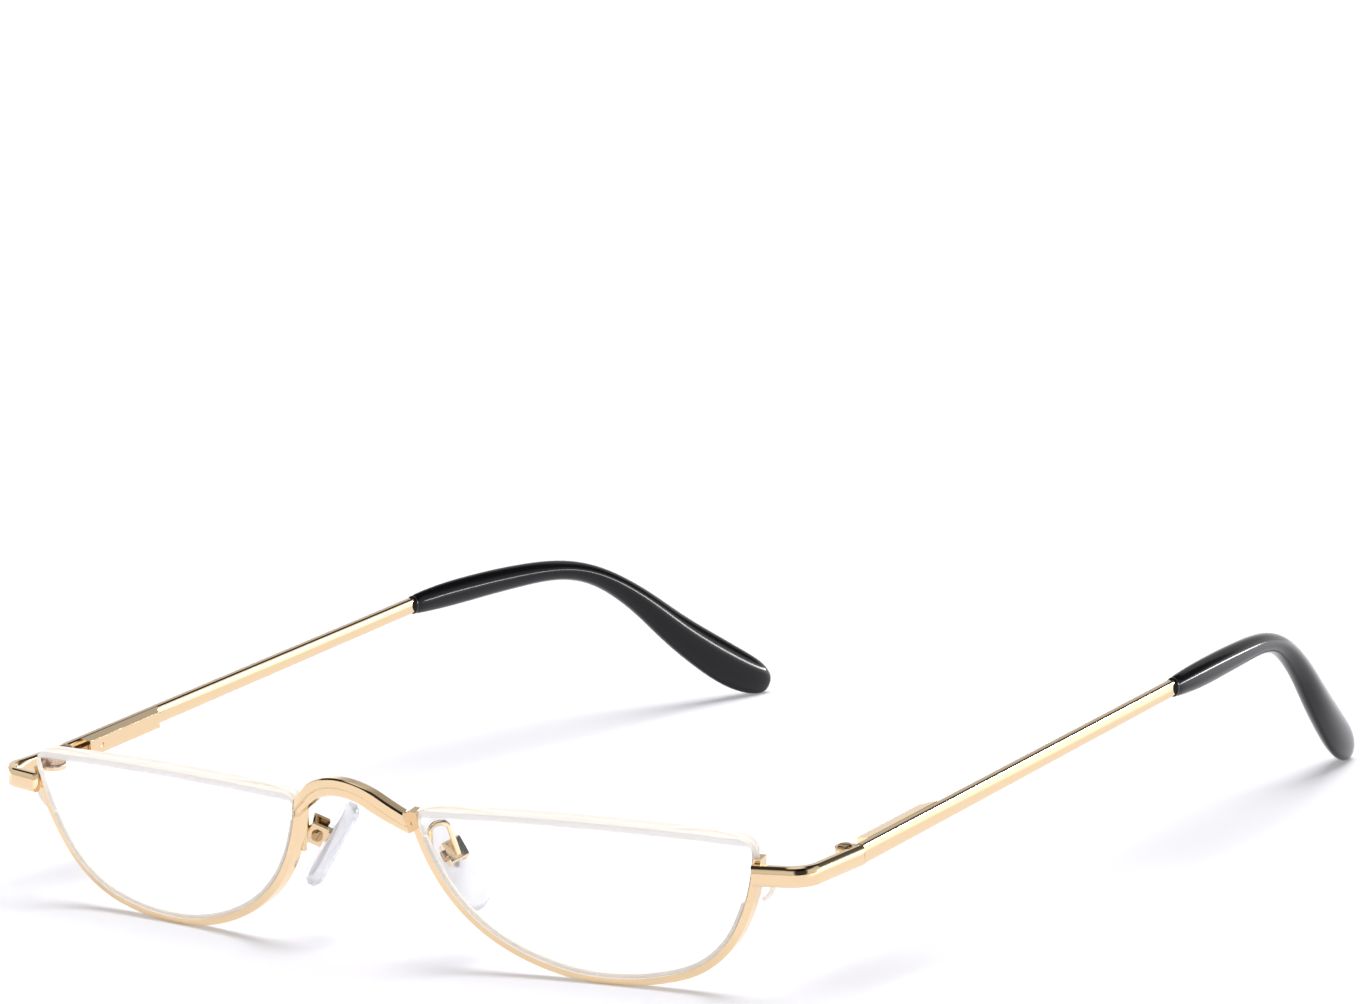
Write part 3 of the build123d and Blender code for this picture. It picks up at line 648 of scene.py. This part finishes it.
def dome_sides(piece, tilt):
    """Bends the shading of upright faces outwards at their upper and lower borders, as buffing does."""
    mesh = piece.data
    lean = [0.0] * len(mesh.vertices)
    for face in mesh.polygons:
        for corner in face.vertices:
            lean[corner] += face.normal.z
    normals = [Vector(corner.vector) for corner in mesh.corner_normals]
    for face in mesh.polygons:
        if abs(face.normal.z) > UPRIGHT:
            continue
        for loop in face.loop_indices:
            side = lean[mesh.loops[loop].vertex_index]
            if abs(side) > BORDER:
                rise = Vector((0, 0, copysign(tan(tilt), side)))
                normals[loop] = (normals[loop] + rise).normalized()
    mesh.normals_split_custom_set(normals)


def join_pieces(pieces, name):
    """Joins pieces into one whose object sits at the origin."""
    deselect_all()
    for piece in pieces:
        piece.select_set(True)
    bpy.context.view_layer.objects.active = pieces[0]
    if len(pieces) > 1:
        bpy.ops.object.join()
    bpy.ops.object.transform_apply(location=True, rotation=True, scale=True)
    piece = bpy.context.active_object
    piece.name = name
    return piece


def bridge_rings(rings, name):
    """Joins rings in order into one closed, smooth skin."""
    piece = join_pieces(rings, name)
    activate(piece)
    bpy.ops.object.mode_set(mode="EDIT")
    bpy.ops.mesh.select_all(action="SELECT")
    bpy.ops.mesh.bridge_edge_loops()
    bpy.ops.mesh.select_all(action="DESELECT")
    bpy.ops.mesh.select_mode(type="EDGE")
    bpy.ops.mesh.select_non_manifold()
    bpy.ops.mesh.edge_face_add()
    bpy.ops.mesh.select_all(action="SELECT")
    bpy.ops.mesh.normals_make_consistent(inside=False)
    bpy.ops.object.mode_set(mode="OBJECT")
    rounding = piece.modifiers.new("rounding", "SUBSURF")
    rounding.levels = 1
    rounding.render_levels = 1
    apply_modifiers(piece)
    bpy.ops.object.shade_smooth_by_angle(angle=radians(50))
    return piece


def settle(piece, body, slot, *nodes):
    """Puts a finished piece on its body and hides the parts that it stands for. The slot is not used.
    """
    if not piece.data.polygons:
        raise RuntimeError(f"{piece.name} has no faces")
    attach(piece, body)
    if nodes:
        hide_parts(*nodes)


# Operators, one for each group of like pieces

class GLASSES_OT_front(bpy.types.Operator):
    """Bridge, rims and end pieces, all of gold plated metal."""

    bl_idname = "glasses.front"
    bl_label = "Front"

    def execute(self, context):
        sizes = context.scene.glasses_sizes
        bridge = cast_from("bridge", "bridge_band", "plate", sizes.small_edge, crown=40)
        # The bridge's sideways end faces get a paler gold, a painted highlight
        second_finish(bridge, "painted_highlight", lambda face: abs(face.normal.x) > HIGHLIT_SIDEWAYS)
        settle(bridge, "front", "gold_plate", "bridge")
        for side in SIDES:
            rim = cast_from(f"rim_{side}", f"rim_wire_{side}", "plate", sizes.rim_edge, crown=25)
            settle(rim, "front", "gold_plate", f"rim_{side}")
            strap = cast_from(f"end_piece_{side}", f"end_strap_{side}", "plate")
            dome_sides(strap, STRAP_DOME)
            settle(strap, "front", "gold_plate", f"end_piece_{side}")
        return {"FINISHED"}


class GLASSES_OT_lenses(bpy.types.Operator):
    """Half eye lenses with polished faces and a ground edge, their cords and their liners."""

    bl_idname = "glasses.lenses"
    bl_label = "Lenses"

    def execute(self, context):
        for side in SIDES:
            lens = cast_from(
                f"lens_{side}", f"lens_blank_{side}", "lens", LENS_EDGE, bevel_angle=50,
            )
            second_finish(lens, "edge", lambda face: abs(face.normal.y) < LENS_FORWARDS)
            settle(lens, "front", "lens", f"lens_{side}")
            liner = cast_from(
                f"rim_liner_{side}", f"liner_strip_{side}", "nylon", swell=NYLON_PRESS,
            )
            settle(liner, "front", "nylon", f"rim_liner_{side}")
            cord = cast_from(
                f"lens_cord_{side}", f"cord_line_{side}", "nylon", smooth_angle=60,
                swell=NYLON_PRESS,
            )
            settle(cord, "front", "nylon", f"lens_cord_{side}")
        return {"FINISHED"}


def pad_frame(side):
    """Middle, across, up and outward directions of one pad."""
    upward = Vector((-sin(PAD_SPLAY), 0, cos(PAD_SPLAY)))
    face_out = Vector(
        (-cos(PAD_SPLAY) * cos(PAD_TURN), sin(PAD_TURN), -sin(PAD_SPLAY) * cos(PAD_TURN))
    )
    lines = [PAD_PLACE, upward.cross(face_out), upward, face_out]
    if side == "left":
        lines = [mirror(line) for line in lines]
    return lines


def model_pad_insert(side):
    """The stamped oval plate inside a pad, seen through the silicone."""
    middle, across, upward, face_out = pad_frame(side)
    turn = Matrix((across, face_out.cross(across), face_out)).transposed()
    deselect_all()
    bpy.ops.mesh.primitive_cylinder_add(
        vertices=RING_POINTS, radius=PLATE_RADIUS, depth=PLATE_DEPTH, rotation=turn.to_euler(),
        location=middle + upward * PLATE_RISE - face_out * PLATE_SINK,
    )
    plate = bpy.context.active_object
    plate.scale.y = PLATE_STRETCH
    plate = join_pieces([plate], f"pad_plate_{side}")
    round_edges(plate, PLATE_EDGE)
    apply_modifiers(plate)
    bpy.ops.object.shade_smooth_by_angle(angle=radians(SHARP_TURN))
    plate.data.materials.append(finish_of("insert"))
    return plate


class GLASSES_OT_pads(bpy.types.Operator):
    """Nose pads with their plates, boxes, screws and bent wire arms."""

    bl_idname = "glasses.pads"
    bl_label = "Nose pads"

    def execute(self, context):
        sizes = context.scene.glasses_sizes
        for side in SIDES:
            pad = cast_from(f"nose_pad_{side}", f"pad_body_{side}", "silicone", smooth_angle=50)
            middle, _, _, face_out = pad_frame(side)
            second_finish(
                pad, "wire", lambda face: (face.center - middle).dot(face_out) < PAD_BACK,
            )
            settle(pad, f"pad_{side}", "silicone", f"nose_pad_{side}")
            settle(model_pad_insert(side), f"pad_{side}", "steel")
            box = cast_from(f"pad_box_{side}", f"pad_cup_{side}", "wire", sizes.small_edge)
            settle(box, "front", "gold_wire", f"pad_box_{side}")
            arm = cast_from(f"pad_arm_{side}", f"pad_wire_{side}", "wire", smooth_angle=60)
            settle(arm, "front", "gold_wire", f"pad_arm_{side}")
            screw = cast_from(f"pad_screw_{side}", f"pad_pin_{side}", "screw")
            settle(screw, "front", "steel", f"pad_screw_{side}")
        return {"FINISHED"}


def hinge_frame():
    """Side, along and up directions of the right temple."""
    side = Vector((cos(TOE), sin(TOE), 0))
    along = Vector((-sin(TOE), cos(TOE), tan(PITCH))).normalized()
    return side, along, side.cross(along)


class GLASSES_OT_hinges(bpy.types.Operator):
    """Sprung hinges: screws, eyes, stops, springs and their boxes."""

    bl_idname = "glasses.hinges"
    bl_label = "Hinges"

    def execute(self, context):
        sizes = context.scene.glasses_sizes
        for side in SIDES:
            screw = cast_from(f"hinge_screw_{side}", f"hinge_pin_{side}", "screw")
            settle(screw, "front", "steel", f"hinge_screw_{side}")
            eye = cast_from(f"hinge_eye_{side}", f"hinge_knuckle_{side}", "screw")
            settle(eye, f"eye_{side}", "steel", f"hinge_eye_{side}")
            stop = cast_from(f"spring_stop_{side}", f"rod_stop_{side}", "screw")
            settle(stop, f"eye_{side}", "steel", f"spring_stop_{side}")
            coil = cast_from(f"hinge_spring_{side}", f"coil_{side}", "screw", smooth_angle=70)
            settle(coil, f"temple_{side}", "steel", f"hinge_spring_{side}")
            along = hinge_frame()[1]
            seat = HINGE + along * SPRING_START
            if side == "left":
                along, seat = mirror(along), mirror(seat)
            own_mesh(coil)
            box = cast_from(
                f"spring_housing_{side}", f"spring_box_{side}", "plate", sizes.small_edge,
            )
            settle(box, f"temple_{side}", "gold_plate", f"spring_housing_{side}")
        return {"FINISHED"}


def tip_values(row):
    """The table's values at a row, or at a place between two rows, along a smooth curve."""
    last = len(TIP_SHARES) - 1
    first = min(int(row), last - 1)
    part = row - first
    before, start, end, after = (
        TIP_SHARES[min(max(first + step, 0), last)] for step in (-1, 0, 1, 2)
    )
    values = []
    for a, b, c, d in zip(before, start, end, after):
        curve = (2 * a - 5 * b + 4 * c - d) * part**2 + (3 * b - a - 3 * c + d) * part**3
        values.append(b + ((c - a) * part + curve) / 2)
    return values


def tip_centre(row):
    """Point on the right tip's centre line at a row of its table."""
    side, along, up = hinge_frame()
    along_share, drop_share, inward_share = tip_values(row)[:3]
    place = HINGE + side * (BAR_MIDDLE - inward_share * TIP_INWARD)
    return place + along * (BAR_LENGTH + along_share * TIP_LENGTH) - up * drop_share * TIP_DROP


def add_tip_ring(side, row, scale):
    """One oval ring of a tip, square to its centre line at a row of its table."""
    along, up = hinge_frame()[1:]
    before = tip_centre(max(row - HEADING_REACH, 0))
    after = tip_centre(min(row + HEADING_REACH, len(TIP_SHARES) - 1))
    heading = along if row == 0 else (after - before).normalized()
    sideways = heading.cross(up).normalized()
    turn = Matrix((sideways, heading.cross(sideways), heading)).transposed()
    place = tip_centre(row)
    if side == "left":
        flip = Matrix.Diagonal((-1, 1, 1))
        turn, place = flip @ turn @ flip, mirror(place)
    height_share, width_share = tip_values(row)[3:]
    half_height = scale * height_share * TIP_HEIGHT / 2
    deselect_all()
    bpy.ops.mesh.primitive_circle_add(
        vertices=RING_POINTS, radius=half_height, location=place, rotation=turn.to_euler(),
    )
    ring = bpy.context.active_object
    ring.scale.x = scale * width_share * TIP_WIDTH / 2 / half_height
    return ring


def model_tip(side):
    """A smooth sleeve: oval rings set along its centre line, bridged and subdivided."""
    last = len(TIP_SHARES) - 1
    bead = [(reach / TIP_SHARES[1][0] / (TIP_LENGTH / MM), scale) for reach, scale in TIP_BEAD]
    body = [(step / TIP_STEPS, 1.0) for step in range(2, TIP_STEPS * (last - 1))]
    end = [(last - short, scale) for short, scale in TIP_END]
    rings = [add_tip_ring(side, row, scale) for row, scale in bead + body + end]
    piece = bridge_rings(rings, f"tip_sleeve_{side}")
    piece.data.materials.append(finish_of("tip"))
    return piece


class GLASSES_OT_temples(bpy.types.Operator):
    """Flat temple bars and their moulded tips."""

    bl_idname = "glasses.temples"
    bl_label = "Temples"

    def execute(self, context):
        for side in SIDES:
            bar = cast_from(f"temple_{side}", f"temple_bar_{side}", "plate")
            dome_sides(bar, BAR_DOME)
            settle(bar, f"temple_{side}", "gold_plate", f"temple_{side}")
            tip = model_tip(side)
            settle(tip, f"temple_{side}", "tip", f"temple_tip_{side}")
        return {"FINISHED"}


# Stage

def make_table():
    """A wide white table that keeps the soft shadows."""
    deselect_all()
    bpy.ops.mesh.primitive_plane_add(size=TABLE_SIZE, location=(0, 0, -TABLE_DROP))
    table = bpy.context.active_object
    table.name = "table"
    material, tree = new_material("table_white_laminate")
    path = add_node(tree, "ShaderNodeLightPath")
    seen = add_node(
        tree, "ShaderNodeMath",
        {0: path.outputs["Is Camera Ray"], 1: path.outputs["Is Transmission Ray"]},
        operation="MAXIMUM",
    )
    plain = add_node(
        tree, "ShaderNodeMath", {0: seen.outputs["Value"], 1: TABLE_GLOW}, operation="MULTIPLY",
    )
    place = add_node(tree, "ShaderNodeNewGeometry")
    reach = add_node(
        tree, "ShaderNodeVectorMath", {0: place.outputs["Position"]}, operation="LENGTH",
    )
    share = add_node(
        tree, "ShaderNodeMath", {0: reach.outputs["Value"], 1: 1 / TABLE_REACH},
        operation="MULTIPLY",
    )
    # Painted shade in reflections: the glow is dimmer near the middle, under the glasses
    around = add_node(tree, "ShaderNodeValToRGB", {"Fac": share.outputs["Value"]})
    set_levels(around, TABLE_LEVELS)
    split = add_node(tree, "ShaderNodeSeparateXYZ", {"Vector": place.outputs["Position"]})
    behind = add_node(
        tree, "ShaderNodeMapRange",
        {"Value": split.outputs["Y"], "From Min": TABLE_FRONT[0], "From Max": TABLE_FRONT[1]},
    )
    mirrored = add_node(
        tree, "ShaderNodeMix",
        {
            "Factor": behind.outputs["Result"],
            "A": TABLE_LEVELS[0][1],
            "B": around.outputs["Color"],
        },
    )
    lift = add_node(
        tree, "ShaderNodeMath",
        {
            0: path.outputs["Is Glossy Ray"],
            1: mirrored.outputs["Result"],
            2: plain.outputs["Value"],
        },
        operation="MULTIPLY_ADD",
    )
    glow = add_node(tree, "ShaderNodeEmission", {"Strength": lift.outputs["Value"]})
    paint = add_node(tree, "ShaderNodeBsdfDiffuse", {"Color": srgb(TABLE_PAINT)})
    both = add_node(
        tree, "ShaderNodeAddShader", {0: paint.outputs["BSDF"], 1: glow.outputs["Emission"]},
    )
    add_node(tree, "ShaderNodeOutputMaterial", {"Surface": both.outputs["Shader"]})
    table.data.materials.append(material)


def dark_flag(tree, direction, middle, edge, core, core_level):
    """Share of light that a round dark flag leaves; edge and core are cosines from its middle."""
    towards = add_node(
        tree, "ShaderNodeVectorMath", {0: direction, 1: Vector(middle).normalized()},
        operation="DOT_PRODUCT",
    )
    left = add_node(
        tree, "ShaderNodeMapRange",
        {
            "Value": towards.outputs["Value"],
            "From Min": edge,
            "From Max": core,
            "To Min": 1.0,
            "To Max": core_level,
        },
        interpolation_type="SMOOTHSTEP",
    )
    return left.outputs["Result"]


def make_world(scene):
    """White walls all round, and a dark band overhead that draws the dark lines on edges."""
    world = bpy.data.worlds.new("studio")
    scene.world = world
    world.use_nodes = True
    tree = world.node_tree
    tree.nodes.clear()
    place = add_node(tree, "ShaderNodeTexCoord")
    direction = place.outputs["Generated"]
    split = add_node(tree, "ShaderNodeSeparateXYZ", {"Vector": direction})
    back_wall = add_node(tree, "ShaderNodeValToRGB", {"Fac": split.outputs["Z"]})
    set_levels(back_wall, BACK_LEVELS)
    front_wall = add_node(tree, "ShaderNodeValToRGB", {"Fac": split.outputs["Z"]})
    set_levels(front_wall, FRONT_LEVELS)
    behind = add_node(
        tree, "ShaderNodeMapRange",
        {"Value": split.outputs["Y"], "From Min": WALL_TURN[0], "From Max": WALL_TURN[1]},
    )
    wall = add_node(
        tree, "ShaderNodeMix",
        {
            "Factor": behind.outputs["Result"],
            6: front_wall.outputs["Color"],
            7: back_wall.outputs["Color"],
        },
        data_type="RGBA",
    )
    flags = add_node(
        tree, "ShaderNodeMath",
        {
            0: dark_flag(tree, direction, *BACK_FLAG),
            1: dark_flag(tree, direction, *CAMERA_FLAG),
        },
        operation="MULTIPLY",
    )
    walls = add_node(
        tree, "ShaderNodeBackground",
        {"Color": wall.outputs[2], "Strength": flags.outputs["Value"]},
    )
    room = add_node(
        tree, "ShaderNodeBackground", {"Color": srgb(ROOM_COLOUR), "Strength": ROOM_LEVEL},
    )
    white = add_node(tree, "ShaderNodeBackground", {"Color": srgb("#FFFFFF"), "Strength": 1.0})
    path = add_node(tree, "ShaderNodeLightPath")
    mirrored = add_node(
        tree, "ShaderNodeMath",
        {0: path.outputs["Is Glossy Ray"], 1: path.outputs["Is Transmission Ray"]},
        operation="MAXIMUM",
    )
    unseen = add_node(
        tree, "ShaderNodeMixShader",
        {
            0: mirrored.outputs["Value"],
            1: room.outputs["Background"],
            2: walls.outputs["Background"],
        },
    )
    whole = add_node(
        tree, "ShaderNodeMixShader",
        {
            0: path.outputs["Is Camera Ray"],
            1: unseen.outputs["Shader"],
            2: white.outputs["Background"],
        },
    )
    add_node(tree, "ShaderNodeOutputWorld", {"Surface": whole.outputs["Shader"]})


def make_lamps():
    """A soft key from the right and behind, and a narrow strip that shows only in reflections."""
    data = bpy.data.lights.new("key", "SUN")
    data.energy = KEY_LEVEL
    data.angle = KEY_ANGLE
    key = add_object("key", data)
    key.rotation_euler = KEY_DIRECTION.to_track_quat("Z", "Y").to_euler()
    key.visible_glossy = False
    key.visible_transmission = False
    data = bpy.data.lights.new("strip", "AREA")
    data.shape = "RECTANGLE"
    data.size, data.size_y = STRIP_SIZE
    data.energy = STRIP_POWER
    strip = add_object("strip", data)
    strip.location = STRIP_PLACE
    strip.rotation_euler = (STRIP_AIM - STRIP_PLACE).to_track_quat("-Z", "Y").to_euler()
    strip.visible_diffuse = False


def make_camera(scene):
    """The photograph's camera, with its roll."""
    azimuth, elevation = CAMERA_AZIMUTH, CAMERA_ELEVATION
    back = Vector((sin(azimuth) * cos(elevation), -cos(azimuth) * cos(elevation), sin(elevation)))
    level = Vector((cos(azimuth), sin(azimuth), 0))
    upright = back.cross(level)
    across = cos(CAMERA_ROLL) * level + sin(CAMERA_ROLL) * upright
    up = cos(CAMERA_ROLL) * upright - sin(CAMERA_ROLL) * level
    data = bpy.data.cameras.new("camera")
    data.lens = CAMERA_LENS
    data.sensor_width = CAMERA_SENSOR
    data.clip_start, data.clip_end = CAMERA_CLIP
    camera = add_object("camera", data)
    turn = Matrix((across, up, back)).transposed().to_4x4()
    camera.matrix_world = Matrix.Translation(CAMERA_PLACE) @ turn
    scene.camera = camera


class GLASSES_OT_stage(bpy.types.Operator):
    """White table, studio lamps, bright walls with a dark band overhead, and the camera."""

    bl_idname = "glasses.stage"
    bl_label = "Stage"

    def execute(self, context):
        context.scene.view_settings.view_transform = "Standard"
        make_table()
        make_world(context.scene)
        make_lamps()
        make_camera(context.scene)
        return {"FINISHED"}


# Panel and registration

STEPS = (
    GLASSES_OT_stage,
    GLASSES_OT_front,
    GLASSES_OT_lenses,
    GLASSES_OT_pads,
    GLASSES_OT_hinges,
    GLASSES_OT_temples,
)


class GLASSES_PT_tools(bpy.types.Panel):
    """Lists the steps that finish the glasses."""

    bl_idname = "GLASSES_PT_tools"
    bl_label = "Half eye glasses"
    bl_space_type = "VIEW_3D"
    bl_region_type = "UI"
    bl_category = "Glasses"

    def draw(self, context):
        column = self.layout.column()
        for name in GlassesSizes.__annotations__:
            column.prop(context.scene.glasses_sizes, name)
        for name in GlassesColours.__annotations__:
            column.prop(context.scene.glasses_colours, name)
        for step in STEPS:
            column.operator(step.bl_idname)


CLASSES = (GlassesSizes, GlassesColours, *STEPS, GLASSES_PT_tools)


def register():
    """Registers the classes and the scene's settings."""
    for item in CLASSES:
        bpy.utils.register_class(item)
    bpy.types.Scene.glasses_sizes = bpy.props.PointerProperty(type=GlassesSizes)
    bpy.types.Scene.glasses_colours = bpy.props.PointerProperty(type=GlassesColours)


def unregister():
    """Removes the settings and the classes."""
    del bpy.types.Scene.glasses_colours
    del bpy.types.Scene.glasses_sizes
    for item in reversed(CLASSES):
        bpy.utils.unregister_class(item)


def main():
    """Registers the add-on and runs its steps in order."""
    register()
    bpy.ops.glasses.stage()
    bpy.ops.glasses.front()
    bpy.ops.glasses.lenses()
    bpy.ops.glasses.pads()
    bpy.ops.glasses.hinges()
    bpy.ops.glasses.temples()


if __name__ == "__main__":
    main()
